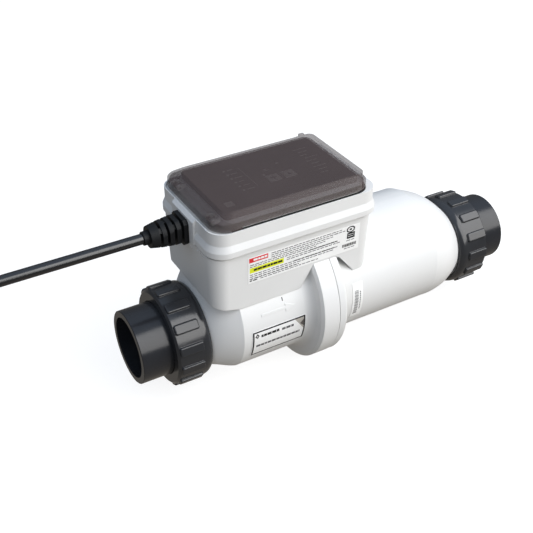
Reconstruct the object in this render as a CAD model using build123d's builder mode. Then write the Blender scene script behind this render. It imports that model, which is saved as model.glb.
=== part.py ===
from build123d import *
import math
import os

# Salt chlorine generator: a flow-through cell with an electronics box on its back and a
# power cord. Millimetres. The origin is the centre of the inlet socket's mouth, on the pipe
# axis. +X runs with the water, +Z is up and +Y is the back.

os.makedirs("parts", exist_ok=True)

# ---- driving dimensions ----
length = 433.0  # inlet mouth to outlet mouth
pipe_r = 36.5  # tailpiece outside, the same as 2 1/2 inch pipe
socket_r = 30.2  # socket for 2 inch pipe
socket_depth = 38.0
water_r = 26.0  # water way past the socket

body_z = 13.7  # the cell body's axis lies this far above the pipe axis
body_r = 61.0
body_inner_r = 55.5
flange_r = 78.0

nut_start, nut_end = 30.5, 66.5
nut_pad_r = 50.2
nut_pads = 14
thread_root_r, thread_crest_r = 39.8, 41.6  # spigot
nut_crest_r, nut_cavity_r = 40.8, 42.6

box_split_z = 106.4  # lower enclosure's rim
rim_z = 133.5  # upper enclosure's lip
moat_z = 130.9  # floor that the cover's edge stands over
deck_z = 139.4  # raised deck that carries the panel
panel_z = 144.9  # the control panel's face
cover_top_z = 147.9
hinge_x, hinge_z = 75.2, 138.2
pin_r = 1.3
hinge_ys = (-34.0, 34.0)

cord_r = 4.95
cord_z = 115.4  # height at which the cord leaves the strain relief
cord_exit_x = 24.0
gland_r = 7.4  # neck of the strain relief, through the box wall
cord_tail_y, cord_tail_z = 80.0, -50.8  # axis of the cord's own connector
coil_x = -360.0  # the put-away coil lies on the pipe axis's line, below the pipes
coil_turn_r = 90.5  # its outer turn

# ---- where things stand ----
middle = length / 2
body_axis = Axis((0, 0, body_z), (1, 0, 0))
cord_axis = Axis((0, 0, cord_z), (1, 0, 0))
plug_axis = Axis((0, cord_tail_y, cord_tail_z), (1, 0, 0))
terminal_spots = ((212.0, 0.0), (224.0, 0.0))
inlet_saddle_spots = ((95.0, -25.0), (95.0, 25.0))
outlet_saddle_spots = ((228.0, -25.0), (228.0, 25.0))
corner_spots = ((78.0, -44.0), (78.0, 44.0), (230.0, -44.0), (230.0, 44.0))
standoff_spots = ((90.0, -33.0), (90.0, 33.0), (214.0, -33.0), (214.0, 33.0))
display_spots = ((96.0, -33.0), (96.0, 33.0), (204.0, -33.0), (204.0, 33.0))
lens_spots = [(119.0, 24.0 - 7.8 * k) for k in range(6)]
flow_spot = (130.0, 0.0)
probe_spot = (107.0, 0.0)
button_spots = ((153.5, -8.5), (169.7, -8.5))
anode_ys = [-30.0 + 12.0 * k for k in range(6)]
cathode_ys = [-36.0 + 12.0 * k for k in range(7)]


# ---- small helpers: each returns a sketch, or adds to the part that calls it ----
def profile(points, base=0.0):
    """A closed outline of (x, height) points in the XZ plane, heights counted from base."""
    with BuildSketch(Plane.XZ) as sketch:
        with BuildLine():
            Polyline(*[(x, base + height) for x, height in points], close=True)
        make_face()
    return sketch.sketch


def plan(z, x0, x1, half, corner):
    """A rounded rectangle at height z, from x0 to x1, half wide each side of the middle."""
    with BuildSketch(Plane.XY.offset(z)) as sketch:
        with Locations(((x0 + x1) / 2, 0)):
            RectangleRounded(x1 - x0, 2 * half, corner)
    return sketch.sketch


def hoop(x, radius, height):
    """A circle across the pipe at x, its centre at the given height."""
    with BuildSketch(Plane.YZ.offset(x)) as sketch:
        with Locations((0, height)):
            Circle(radius)
    return sketch.sketch


def posts(spots, z0, z1, radius, mode=Mode.ADD):
    """Upright cylinders."""
    with Locations(*[(x, y, z0) for x, y in spots]):
        Cylinder(radius, z1 - z0, align=(Align.CENTER, Align.CENTER, Align.MIN), mode=mode)


def block(x0, x1, y0, y1, z0, z1, mode=Mode.ADD):
    with Locations(((x0 + x1) / 2, (y0 + y1) / 2, (z0 + z1) / 2)):
        Box(x1 - x0, y1 - y0, z1 - z0, mode=mode)


def thread_ridges(centres, base_r, crest_r, mode=Mode.ADD):
    """Thread crests as rings: 2.2 wide at the base and 1.0 at the crest."""
    overlap = 0.3 if crest_r > base_r else -0.3
    for x in centres:
        ridge = [
            (x - 1.1, base_r - overlap),
            (x - 1.1, base_r),
            (x - 0.5, crest_r),
            (x + 0.5, crest_r),
            (x + 1.1, base_r),
            (x + 1.1, base_r - overlap),
        ]
        revolve(profile(ridge), axis=Axis.X, mode=mode)


def label_sketch(x0, x1, start_angle):
    """A label's section on the cell body; angles count from the front towards the top."""
    a = math.radians(start_angle)
    plane = Plane(origin=(0, 0, body_z), x_dir=(1, 0, 0), z_dir=(0, -math.sin(a), -math.cos(a)))
    with BuildSketch(plane) as sketch:
        with Locations(((x0 + x1) / 2, body_r + 0.2)):
            Rectangle(x1 - x0, 0.3)
    return sketch.sketch


def cord_run(points):
    """A tube of straight runs joined by tangent arcs, each arc as large as its runs allow."""
    vectors = [Vector(*point) for point in points]
    runs = [b - a for a, b in zip(vectors, vectors[1:])]
    radii = []
    for before, after in zip(runs, runs[1:]):
        half_turn = math.radians(before.get_angle(after)) / 2
        radii.append(0.45 * min(before.length, after.length) / math.tan(half_turn))
    with BuildLine(mode=Mode.PRIVATE) as path:
        FilletPolyline(*points, radius=radii)
    wire = path.wires()[0]
    with BuildSketch(Plane(origin=wire @ 0, z_dir=wire % 0)) as section:
        Circle(cord_r)
    sweep(section.sketch, path=wire)
    print("cord radii", [round(radius, 1) for radius in radii], "length", round(wire.length, 1))
    return wire.length


# ================================================================ plumbing unions
with BuildPart() as inlet_tailpiece:
    tail_points = [
        (0, socket_r),
        (0, pipe_r - 0.6),
        (0.6, pipe_r),
        (38.8, pipe_r),
        (38.8, 41.0),
        (44.8, 41.0),
        (44.8, water_r),
        (socket_depth, water_r),
        (socket_depth, socket_r),
    ]
    revolve(profile(tail_points), axis=Axis.X)
inlet_tailpiece.part.label = "inlet_tailpiece"
export_step(inlet_tailpiece.part, "parts/inlet_tailpiece.step")

with BuildPart() as outlet_tailpiece:
    mirror(inlet_tailpiece.part, about=Plane.YZ.offset(middle))
outlet_tailpiece.part.label = "outlet_tailpiece"
export_step(outlet_tailpiece.part, "parts/outlet_tailpiece.step")

with BuildPart() as inlet_o_ring:
    with BuildSketch(Plane.XZ):
        with Locations((46.78, 34.75)):
            Circle(1.9)
    revolve(axis=Axis.X)
inlet_o_ring.part.label = "inlet_o_ring"
export_step(inlet_o_ring.part, "parts/inlet_o_ring.step")

with BuildPart() as outlet_o_ring:
    mirror(inlet_o_ring.part, about=Plane.YZ.offset(middle))
outlet_o_ring.part.label = "outlet_o_ring"
export_step(outlet_o_ring.part, "parts/outlet_o_ring.step")

# One raised grip pad of a union nut, on its front side.
with BuildPart() as grip_pad:
    block(33.0, 57.0, -nut_pad_r, -45.8, -4.7, 4.7)
    fillet(grip_pad.edges().filter_by(Axis.Y), 1.8)
    fillet(grip_pad.faces().sort_by(Axis.Y)[0].edges(), 1.3)

# The plain nut: a lip that pulls the tailpiece in, a cavity with thread crests, a rounded back.
with BuildPart() as plain_nut:
    with BuildSketch(Plane.XZ):
        with BuildLine():
            Polyline(
                (nut_end, 45.2),
                (nut_end, nut_cavity_r),
                (38.5, nut_cavity_r),
                (38.5, pipe_r + 0.5),
                (nut_start, pipe_r + 0.5),
                (nut_start, 45.5),
                (32.5, 47.7),
                (58.0, 48.2),
            )
            ThreePointArc((58.0, 48.2), (63.4, 47.4), (nut_end, 45.2))
        make_face()
    revolve(axis=Axis.X)
    thread_ridges((52.0, 56.0, 60.0), nut_cavity_r, nut_crest_r)


def nut_angles(first):
    return [first + 360.0 / nut_pads * k for k in range(nut_pads)]


with BuildPart() as inlet_union_nut:
    add(plain_nut.part)
    for angle in nut_angles(-9.7):
        add(grip_pad.part, rotation=(-angle, 0, 0))
inlet_union_nut.part.label = "inlet_union_nut"
export_step(inlet_union_nut.part, "parts/inlet_union_nut.step")

with BuildPart() as outlet_union_nut:
    mirror(plain_nut.part, about=Plane.YZ.offset(middle))
    far_pad = mirror(grip_pad.part, about=Plane.YZ.offset(middle), mode=Mode.PRIVATE)
    for angle in nut_angles(4.4):
        add(far_pad, rotation=(-angle, 0, 0))
outlet_union_nut.part.label = "outlet_union_nut"
export_step(outlet_union_nut.part, "parts/outlet_union_nut.step")

# ================================================================ cell body
inlet_shoulder = (
    (66.8, 41.5, 2.5),
    (72.7, 47.7, 7.3),
    (80.0, 53.4, 10.5),
    (87.4, 58.2, 12.3),
    (92.2, body_r, body_z),
)
outlet_shoulder = (
    (320.0, 60.6, body_z),
    (334.0, 57.8, 10.3),
    (344.0, 54.6, 8.5),
    (351.0, 51.3, 7.0),
    (361.0, 44.9, 4.2),
    (366.2, 41.5, 2.5),
)


def spigot(face_x, root_x, ridge_xs, groove_x):
    """The threaded end that a union nut screws on, with its O-ring groove cut after it."""
    low, high = min(face_x, root_x), max(face_x, root_x)
    revolve(profile([(low, 0), (low, thread_root_r), (high, thread_root_r), (high, 0)]), axis=Axis.X)
    thread_ridges(ridge_xs, thread_root_r, thread_crest_r)
    g0, g1 = min(face_x, groove_x), max(face_x, groove_x)
    groove = profile([(g0, 32.5), (g0, 37.0), (g1, 37.0), (g1, 32.5)])
    revolve(groove, axis=Axis.X, mode=Mode.SUBTRACT)


with BuildPart() as inlet_housing:
    loft([hoop(*section) for section in inlet_shoulder])
    revolve(profile([(92.2, 0), (92.2, body_r), (160.0, body_r), (160.0, 0)], body_z), axis=body_axis)
    # flange, blended into the body by a concave arc and with a bevelled edge
    with BuildSketch(Plane.XZ):
        with BuildLine():
            Polyline(
                (158.5, body_z + body_r),
                (158.5, body_z),
                (187.6, body_z),
                (187.6, body_z + flange_r),
                (170.5, body_z + flange_r),
                (168.4, body_z + 74.5),
                (168.0, body_z + 70.5),
            )
            ThreePointArc(
                (168.0, body_z + 70.5),
                (165.22, body_z + 63.78),
                (158.5, body_z + body_r),
            )
        make_face()
    revolve(axis=body_axis)
    spigot(45.1, 70.0, (50.0, 54.0, 58.0, 62.0), 48.7)
    posts((flow_spot,), 60.0, 94.8, 14.0)
    posts((probe_spot,), 60.0, 94.8, 7.0)
    posts(inlet_saddle_spots, 58.0, 94.8, 5.0)
    # flow arrow, a low raised mark between the label plate and the box
    arrow_angle = 19.0
    tilt = math.radians(arrow_angle)
    arrow_plane = Plane(
        origin=(130.0, -58.0 * math.cos(tilt), body_z + 58.0 * math.sin(tilt)),
        x_dir=(1, 0, 0),
        z_dir=(0, -math.cos(tilt), math.sin(tilt)),
    )
    with BuildSketch(arrow_plane):
        with BuildLine():
            Polyline(
                (-18, 1.2), (8, 1.2), (8, 4.2), (18, 0), (8, -4.2), (8, -1.2), (-18, -1.2), close=True
            )
        make_face()
    extrude(amount=body_r - 58.0 + 0.35)
    # water way: bore, widening throat, chamber
    revolve(profile([(45, 0), (45, water_r), (63, water_r), (63, 0)]), axis=Axis.X, mode=Mode.SUBTRACT)
    throat = ((63.0, water_r, 0.0), (72.0, 38.0, 6.0), (80.0, 47.0, 10.0), (92.2, body_inner_r, body_z))
    loft([hoop(*section) for section in throat], mode=Mode.SUBTRACT)
    chamber = profile([(92.2, 0), (92.2, body_inner_r), (188, body_inner_r), (188, 0)], body_z)
    revolve(chamber, axis=body_axis, mode=Mode.SUBTRACT)
    posts((flow_spot,), 60.0, 96.0, 9.2, mode=Mode.SUBTRACT)
    posts((probe_spot,), 60.0, 96.0, 3.1, mode=Mode.SUBTRACT)
    posts(inlet_saddle_spots, 82.0, 96.0, 2.05, mode=Mode.SUBTRACT)
inlet_housing.part.label = "inlet_housing"
export_step(inlet_housing.part, "parts/inlet_housing.step")

with BuildPart() as outlet_housing:
    loft([hoop(*section) for section in outlet_shoulder])
    with BuildSketch(Plane.XZ):
        with BuildLine():
            Polyline(
                (203.5, body_z + body_r),
                (320.0, body_z + 60.6),
                (320.0, body_z),
                (188.4, body_z),
                (188.4, body_z + 77.6),
                (194.0, body_z + 77.9),
            )
            ThreePointArc(
                (194.0, body_z + 77.9),
                (196.2, body_z + 77.1),
                (197.2, body_z + 75.0),
            )
            Line((197.2, body_z + 75.0), (197.4, body_z + 67.1))
            ThreePointArc(
                (197.4, body_z + 67.1),
                (199.19, body_z + 62.79),
                (203.5, body_z + body_r),
            )
        make_face()
    revolve(axis=body_axis)
    spigot(length - 45.1, 363.0, [length - x for x in (50.0, 54.0, 58.0, 62.0)], length - 48.7)
    posts(terminal_spots, 60.0, 99.0, 5.5)
    posts(outlet_saddle_spots, 58.0, 94.8, 5.0)
    bore = profile([(370, 0), (370, water_r), (388, water_r), (388, 0)])
    revolve(bore, axis=Axis.X, mode=Mode.SUBTRACT)
    throat = (
        (320.0, 55.1, body_z),
        (334.0, 52.3, 10.3),
        (344.0, 49.0, 8.5),
        (351.0, 45.5, 7.0),
        (361.0, 36.0, 3.5),
        (370.0, water_r, 0.0),
    )
    loft([hoop(*section) for section in throat], mode=Mode.SUBTRACT)
    chamber = profile([(188, 0), (188, body_inner_r), (320, 55.1), (320, 0)], body_z)
    revolve(chamber, axis=body_axis, mode=Mode.SUBTRACT)
    posts(terminal_spots, 60.0, 100.0, 3.3, mode=Mode.SUBTRACT)
    posts(outlet_saddle_spots, 82.0, 96.0, 2.05, mode=Mode.SUBTRACT)
outlet_housing.part.label = "outlet_housing"
export_step(outlet_housing.part, "parts/outlet_housing.step")

with BuildPart() as flange_gasket:
    gasket_points = [(187.62, 63.0), (187.62, 75.5), (188.38, 75.5), (188.38, 63.0)]
    revolve(profile(gasket_points, body_z), axis=body_axis)
flange_gasket.part.label = "flange_gasket"
export_step(flange_gasket.part, "parts/flange_gasket.step")

# The space that the cell needs under the box, with a quarter millimetre to spare.
with BuildPart() as cell_envelope:
    spare = 0.25
    loft([hoop(x, radius + spare, height) for x, radius, height in inlet_shoulder])
    envelope_points = [
        (92.2, 0),
        (92.2, body_r + spare),
        (158.0, body_r + spare),
        (164.8, 63.6),
        (167.7, 70.5),
        (168.1, 74.6),
        (170.3, flange_r + spare),
        (196.0, flange_r + spare),
        (197.7, 75.0),
        (197.8, 67.0),
        (203.5, body_r + spare),
        (260.0, body_r + spare),
        (260.0, 0),
    ]
    revolve(profile(envelope_points, body_z), axis=body_axis)

# ================================================================ electronics box
def lower_wall(z, inset=0.0):
    """The lower enclosure's outline at height z: it widens by 2 degrees towards its rim."""
    rise = (z - 46.0) / (box_split_z - 46.0)
    return plan(
        z,
        67.8 - 2.1 * rise + inset,
        236.1 + 2.1 * rise - inset,
        53.27 + 2.13 * rise - inset,
        13.0 + 2.0 * rise - inset,
    )


with BuildPart() as lower_enclosure:
    loft([lower_wall(46.0), lower_wall(box_split_z)], ruled=True)
    block(63.7, 72.0, -15.0, 15.0, 101.0, box_split_z)
    loft([lower_wall(45.0, 3.0), lower_wall(95.0, 3.0)], ruled=True, mode=Mode.SUBTRACT)
    loft([lower_wall(98.0, 3.0), lower_wall(107.0, 3.0)], ruled=True, mode=Mode.SUBTRACT)
    posts(corner_spots, 96.0, box_split_z, 4.0)
    posts(standoff_spots, 96.0, 110.0, 3.0)
    # the cut-out that lets the flange through both skirts
    with BuildSketch(Plane.XZ) as notch:
        with BuildLine():
            Polyline((156.5, 40), (156.5, 45), (169.8, 68.3), (199, 68.3), (217.5, 46), (217.5, 40), close=True)
        make_face()
        fillet(notch.vertices().group_by(Axis.Y)[-1], 3.5)
    extrude(amount=70, both=True, mode=Mode.SUBTRACT)
    # the inlet end stops higher, in a shallow ramp
    extrude(
        profile([(60, 40), (60, 53), (70, 52), (93, 46), (93, 40)]), amount=70, both=True, mode=Mode.SUBTRACT
    )
    add(cell_envelope.part, mode=Mode.SUBTRACT)
    posts(corner_spots, 90.0, 107.0, 2.2, mode=Mode.SUBTRACT)
    posts(standoff_spots, 101.0, 111.0, 1.25, mode=Mode.SUBTRACT)
    posts(inlet_saddle_spots + outlet_saddle_spots, 94.0, 99.0, 2.2, mode=Mode.SUBTRACT)
    posts(terminal_spots, 94.0, 99.0, 5.8, mode=Mode.SUBTRACT)
    posts((flow_spot,), 94.0, 99.0, 9.4, mode=Mode.SUBTRACT)
    posts((probe_spot,), 94.0, 99.0, 3.3, mode=Mode.SUBTRACT)
    # three small drain slits under the bead, on the cord side
    for y in (-24.5, -30.0, -35.5):
        block(65.0, 66.6, y - 1.3, y + 1.3, 102.6, 105.4, mode=Mode.SUBTRACT)
lower_enclosure.part.label = "lower_enclosure"
export_step(lower_enclosure.part, "parts/lower_enclosure.step")

with BuildPart() as enclosure_gasket:
    extrude(plan(106.45, 66.9, 237.0, 54.2, 13.8), amount=0.7)
    extrude(plan(106.45, 68.9, 235.0, 52.2, 11.8), amount=0.7, mode=Mode.SUBTRACT)
enclosure_gasket.part.label = "enclosure_gasket"
export_step(enclosure_gasket.part, "parts/enclosure_gasket.step")


def upper_wall(z, grow=0.0):
    """The upper enclosure's outline at height z, grown outward."""
    return plan(z, 66.7 - grow, 239.5 + grow, 56.9 + grow, 16.0 + grow)


hinge_ear = [
    (hinge_x, hinge_z + 2.7),
    (83.0, 139.2),
    (83.0, 138.16),
    (76.12, 135.66),
    (hinge_x, hinge_z),
]

with BuildPart() as upper_enclosure:
    extrude(upper_wall(107.2), amount=rim_z - 107.2)
    # rolled bead round the split: it swells fast, runs straight, and fades upwards
    loft([upper_wall(107.4, 0.3), upper_wall(109.5, 2.5)], ruled=True)
    extrude(upper_wall(109.5, 2.5), amount=5.5)
    loft([upper_wall(115.0, 2.5), upper_wall(121.5, -0.2)], ruled=True)
    # raised pad for the strain relief
    with BuildSketch(Plane.XZ.offset(-21.5)):
        with BuildLine():
            Polyline((63.7, 107.2), (63.7, 130.5), (66.7, rim_z), (72, rim_z), (72, 107.2), close=True)
        make_face()
    extrude(amount=43.0)
    # moat for the cover's edge, with the raised deck inside it
    extrude(plan(moat_z, 67.9, 231.8, 55.9, 16.3), amount=10, mode=Mode.SUBTRACT)
    extrude(plan(moat_z, 82.2, 228.4, 52.4, 13.0), amount=deck_z - moat_z)
    extrude(plan(107.2, 69.7, 236.5, 53.9, 13.0), amount=128.4 - 107.2, mode=Mode.SUBTRACT)
    extrude(plan(128.4, 84.8, 225.8, 49.8, 10.4), amount=8.0, mode=Mode.SUBTRACT)
    extrude(plan(136.4, 88.0, 212.0, 41.0, 3.0), amount=4.0, mode=Mode.SUBTRACT)
    posts(corner_spots, 107.2, 129.0, 4.0)
    posts(corner_spots, 106.0, 126.0, 2.05, mode=Mode.SUBTRACT)
    # hinge ears, a pair for each pin
    for hinge_y in hinge_ys:
        for low_y in (hinge_y - 6.5, hinge_y + 4.0):
            with BuildSketch(Plane.XZ.offset(-low_y - 2.5)):
                with BuildLine():
                    Polyline(*hinge_ear, close=True)
                make_face()
                with Locations((hinge_x, hinge_z)):
                    Circle(2.7)
                    Circle(pin_r + 0.02, mode=Mode.SUBTRACT)
            extrude(amount=2.5)
    with BuildSketch(Plane.YZ.offset(60.0)):
        with Locations((0, cord_z)):
            Circle(gland_r + 0.2)
    extrude(amount=14.0, mode=Mode.SUBTRACT)
upper_enclosure.part.label = "upper_enclosure"
export_step(upper_enclosure.part, "parts/upper_enclosure.step")

with BuildPart() as enclosure_screws:
    posts(corner_spots, 92.0, 94.9, 3.4)
    posts(corner_spots, 94.9, 122.0, 2.0)
    posts(corner_spots, 91.5, 93.4, 1.2, mode=Mode.SUBTRACT)
enclosure_screws.part.label = "enclosure_screws"
export_step(enclosure_screws.part, "parts/enclosure_screws.step")

with BuildPart() as saddle_screws:
    saddle_spots = inlet_saddle_spots + outlet_saddle_spots
    posts(saddle_spots, 98.05, 100.8, 3.8)
    posts(saddle_spots, 84.0, 98.05, 2.0)
    posts(saddle_spots, 99.3, 101.0, 1.3, mode=Mode.SUBTRACT)
saddle_screws.part.label = "saddle_screws"
export_step(saddle_screws.part, "parts/saddle_screws.step")

# ================================================================ smoked cover and its hinge
with BuildPart() as smoked_cover:
    extrude(plan(133.9, 69.85, 231.5, 55.6, 16.0), amount=7.8)
    loft([plan(141.7, 69.85, 231.5, 55.6, 16.0), plan(cover_top_z, 83.0, 224.0, 46.3, 8.0)], ruled=True)
    extrude(plan(145.0, 205.0, 229.2, 46.6, 6.0), amount=cover_top_z - 145.0)
    block(214.8, 220.0, 45.0, 48.5, 146.0, 149.4)
    extrude(plan(133.0, 71.7, 229.6, 53.75, 14.1), amount=7.5, mode=Mode.SUBTRACT)
    loft(
        [plan(140.5, 71.7, 229.6, 53.75, 14.1), plan(146.2, 83.6, 223.6, 45.7, 7.4)],
        ruled=True,
        mode=Mode.SUBTRACT,
    )
    block(95.0, 227.0, -60.0, -50.0, 133.0, 135.7, mode=Mode.SUBTRACT)
    for hinge_y in hinge_ys:
        with BuildSketch(Plane.XZ.offset(-hinge_y - 3.6)):
            with BuildLine():
                Polyline((72.6, hinge_z), (72.6, 141.5), (77.8, 144.2), (77.8, hinge_z), close=True)
            make_face()
            with Locations((hinge_x, hinge_z)):
                Circle(2.6)
                Circle(pin_r + 0.06, mode=Mode.SUBTRACT)
        extrude(amount=7.2)
smoked_cover.part.label = "smoked_cover"
export_step(smoked_cover.part, "parts/smoked_cover.step")

with BuildPart() as cover_hinge_pins:
    for hinge_y in hinge_ys:
        with BuildSketch(Plane.XZ.offset(-hinge_y - 6.5)):
            with Locations((hinge_x, hinge_z)):
                Circle(pin_r)
        extrude(amount=13.0)
cover_hinge_pins.part.label = "cover_hinge_pins"
export_step(cover_hinge_pins.part, "parts/cover_hinge_pins.step")

with BuildPart() as cover_gasket:
    extrude(plan(130.95, 70.2, 231.4, 55.6, 15.9), amount=2.45)
    extrude(plan(130.0, 72.6, 229.0, 53.0, 13.5), amount=4.0, mode=Mode.SUBTRACT)
    block(60.0, 86.0, -60.0, 60.0, 130.0, 134.0, mode=Mode.SUBTRACT)
cover_gasket.part.label = "cover_gasket"
export_step(cover_gasket.part, "parts/cover_gasket.step")

# ================================================================ control panel and boards
with BuildPart() as control_panel:
    extrude(plan(139.45, 84.0, 222.6, 45.2, 4.0), amount=panel_z - 139.45)
    fillet(control_panel.faces().sort_by(Axis.Z)[-1].edges(), 0.6)
    extrude(plan(132.0, 88.3, 211.7, 40.7, 2.8), amount=7.6)
    extrude(plan(131.0, 90.3, 209.7, 38.7, 1.0), amount=8.45, mode=Mode.SUBTRACT)
    # pockets under the plate, beside the lenses and the buttons
    for low_x, high_x in ((91.0, 113.5), (124.5, 141.0), (182.0, 209.0)):
        block(low_x, high_x, -38.0, 38.0, 139.0, panel_z - 2.5, mode=Mode.SUBTRACT)
    posts(display_spots, 134.65, panel_z - 2.0, 2.6)
    posts(display_spots, 134.0, 138.8, 1.05, mode=Mode.SUBTRACT)
    for x, y in button_spots:
        block(x - 6.5, x + 6.5, y - 6.5, y + 6.5, 138.0, 147.0, mode=Mode.SUBTRACT)
    posts(lens_spots, 138.0, 147.0, 1.35, mode=Mode.SUBTRACT)
control_panel.part.label = "control_panel"
export_step(control_panel.part, "parts/control_panel.step")


def push_button(x, y):
    """A square cap that passes the panel, a flange that stops it, a stem down to its switch."""
    block(x - 6.25, x + 6.25, y - 6.25, y + 6.25, 138.8, panel_z + 0.5)
    block(x - 7.25, x + 7.25, y - 7.25, y + 7.25, 137.5, 139.0)
    posts(((x, y),), 136.6, 137.6, 1.5)


with BuildPart() as left_button:
    push_button(*button_spots[0])
    fillet(left_button.faces().sort_by(Axis.Z)[-1].edges(), 0.7)
left_button.part.label = "left_button"
export_step(left_button.part, "parts/left_button.step")

with BuildPart() as right_button:
    push_button(*button_spots[1])
    fillet(right_button.faces().sort_by(Axis.Z)[-1].edges(), 0.7)
right_button.part.label = "right_button"
export_step(right_button.part, "parts/right_button.step")

with BuildPart() as indicator_lenses:
    posts(lens_spots, 136.8, panel_z + 0.15, 1.3)
indicator_lenses.part.label = "indicator_lenses"
export_step(indicator_lenses.part, "parts/indicator_lenses.step")

with BuildPart() as display_board:
    extrude(plan(133.0, 91.0, 209.0, 38.0, 1.0), amount=1.6)
    posts(display_spots, 132.0, 136.0, 1.3, mode=Mode.SUBTRACT)
display_board.part.label = "display_board"
export_step(display_board.part, "parts/display_board.step")

with BuildPart() as tact_switches:
    for x, y in button_spots:
        block(x - 3.0, x + 3.0, y - 3.0, y + 3.0, 134.62, 135.3)
    posts(button_spots, 135.2, 135.7, 1.7)
tact_switches.part.label = "tact_switches"
export_step(tact_switches.part, "parts/tact_switches.step")

with BuildPart() as indicator_leds:
    for x, y in lens_spots:
        block(x - 1.5, x + 1.5, y - 1.0, y + 1.0, 134.62, 136.4)
indicator_leds.part.label = "indicator_leds"
export_step(indicator_leds.part, "parts/indicator_leds.step")

with BuildPart() as driver_board:
    extrude(plan(110.05, 85.0, 220.0, 38.0, 2.0), amount=1.6)
    posts(standoff_spots, 109.0, 113.0, 1.4, mode=Mode.SUBTRACT)
driver_board.part.label = "driver_board"
export_step(driver_board.part, "parts/driver_board.step")

with BuildPart() as board_screws:
    posts(display_spots, 131.2, 132.95, 1.9)
    posts(display_spots, 132.95, 138.6, 1.0)
    posts(standoff_spots, 111.7, 113.6, 2.6)
    posts(standoff_spots, 102.0, 111.7, 1.2)
board_screws.part.label = "board_screws"
export_step(board_screws.part, "parts/board_screws.step")

with BuildPart() as relays:
    for x in (104.0, 138.0):
        for y in (-24.0, -8.0):
            block(x - 14.0, x + 14.0, y - 6.0, y + 6.0, 111.7, 126.7)
    fillet(relays.edges().filter_by(Axis.Z), 0.8)
relays.part.label = "relays"
export_step(relays.part, "parts/relays.step")

with BuildPart() as capacitors:
    cap_spots = ((104.0, 22.0), (122.0, 22.0), (140.0, 22.0))
    posts(cap_spots, 111.7, 127.4, 6.5)
    fillet(capacitors.faces().filter_by(Plane.XY).group_by(Axis.Z)[-1].edges(), 0.9)
capacitors.part.label = "capacitors"
export_step(capacitors.part, "parts/capacitors.step")

with BuildPart() as terminal_block:
    block(175.0, 207.0, -6.0, 6.0, 111.7, 124.0)
    clamp_spots = [(180.0 + 7.3 * k, 0.0) for k in range(4)]
    posts(clamp_spots, 120.0, 125.0, 2.4, mode=Mode.SUBTRACT)
    posts(clamp_spots, 120.0, 122.4, 2.3)
terminal_block.part.label = "terminal_block"
export_step(terminal_block.part, "parts/terminal_block.step")

# ================================================================ electrodes
plate_start, plate_end = 206.0, 330.0
plate_low, plate_high = -22.0, 48.0
plate_half = 0.45
bar_z, bar_top = 50.2, 53.4


def electrode_plates(ys, tab_x):
    """Thin plates on edge, each with a tab that reaches the bar that joins them."""
    for y in ys:
        block(plate_start, plate_end, y - plate_half, y + plate_half, plate_low, plate_high)
        block(tab_x - 3.0, tab_x + 3.0, y - plate_half, y + plate_half, plate_high - 1, bar_z)


def terminal(x, reach):
    """A bar across the tabs, a threaded rod up through the housing, and a sealing collar."""
    block(x - 3.0, x + 3.0, -reach, reach, bar_z, bar_top)
    posts(((x, 0.0),), bar_top - 1.0, 108.0, 3.0)
    posts(((x, 0.0),), 64.5, 66.6, 5.0)


with BuildPart() as anode_plates:
    electrode_plates(anode_ys, terminal_spots[0][0])
anode_plates.part.label = "anode_plates"
export_step(anode_plates.part, "parts/anode_plates.step")

with BuildPart() as cathode_plates:
    electrode_plates(cathode_ys, terminal_spots[1][0])
cathode_plates.part.label = "cathode_plates"
export_step(cathode_plates.part, "parts/cathode_plates.step")

with BuildPart() as anode_terminal:
    terminal(terminal_spots[0][0], 32.0)
anode_terminal.part.label = "anode_terminal"
export_step(anode_terminal.part, "parts/anode_terminal.step")

with BuildPart() as cathode_terminal:
    terminal(terminal_spots[1][0], 38.0)
cathode_terminal.part.label = "cathode_terminal"
export_step(cathode_terminal.part, "parts/cathode_terminal.step")

with BuildPart() as terminal_seals:
    posts(terminal_spots, 66.65, 68.8, 5.0)
    posts(terminal_spots, 66.0, 70.0, 3.05, mode=Mode.SUBTRACT)
terminal_seals.part.label = "terminal_seals"
export_step(terminal_seals.part, "parts/terminal_seals.step")

with BuildPart() as terminal_nuts:
    with BuildSketch(Plane.XY.offset(99.1)):
        with Locations(*terminal_spots):
            RegularPolygon(5.4, 6)
            Circle(3.05, mode=Mode.SUBTRACT)
    extrude(amount=3.4)
terminal_nuts.part.label = "terminal_nuts"
export_step(terminal_nuts.part, "parts/terminal_nuts.step")

with BuildPart() as plate_combs:
    for x in (250.0, 318.0):
        block(x - 3.0, x + 3.0, -38.5, 38.5, -23.5, -17.0)
        block(x - 3.0, x + 3.0, -38.5, 38.5, 44.0, 49.9)
        for y in anode_ys + cathode_ys:
            block(x - 4.0, x + 4.0, y - 0.55, y + 0.55, -22.1, -16.0, mode=Mode.SUBTRACT)
            block(x - 4.0, x + 4.0, y - 0.55, y + 0.55, 43.0, 48.1, mode=Mode.SUBTRACT)
plate_combs.part.label = "plate_combs"
export_step(plate_combs.part, "parts/plate_combs.step")

# ================================================================ flow switch and probe
flow_x = flow_spot[0]
paddle_z = 26.0

with BuildPart() as flow_switch_body:
    posts((flow_spot,), 38.0, 104.0, 9.0)
    posts((flow_spot,), 98.2, 101.0, 12.0)
    for y0, y1 in ((-6.5, -4.0), (4.0, 6.5)):
        block(flow_x - 5.0, flow_x + 5.0, y0, y1, 22.0, 38.5)
    with BuildSketch(Plane.XZ):
        with Locations((flow_x, paddle_z)):
            Circle(1.02)
    extrude(amount=10, both=True, mode=Mode.SUBTRACT)
flow_switch_body.part.label = "flow_switch_body"
export_step(flow_switch_body.part, "parts/flow_switch_body.step")

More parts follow.
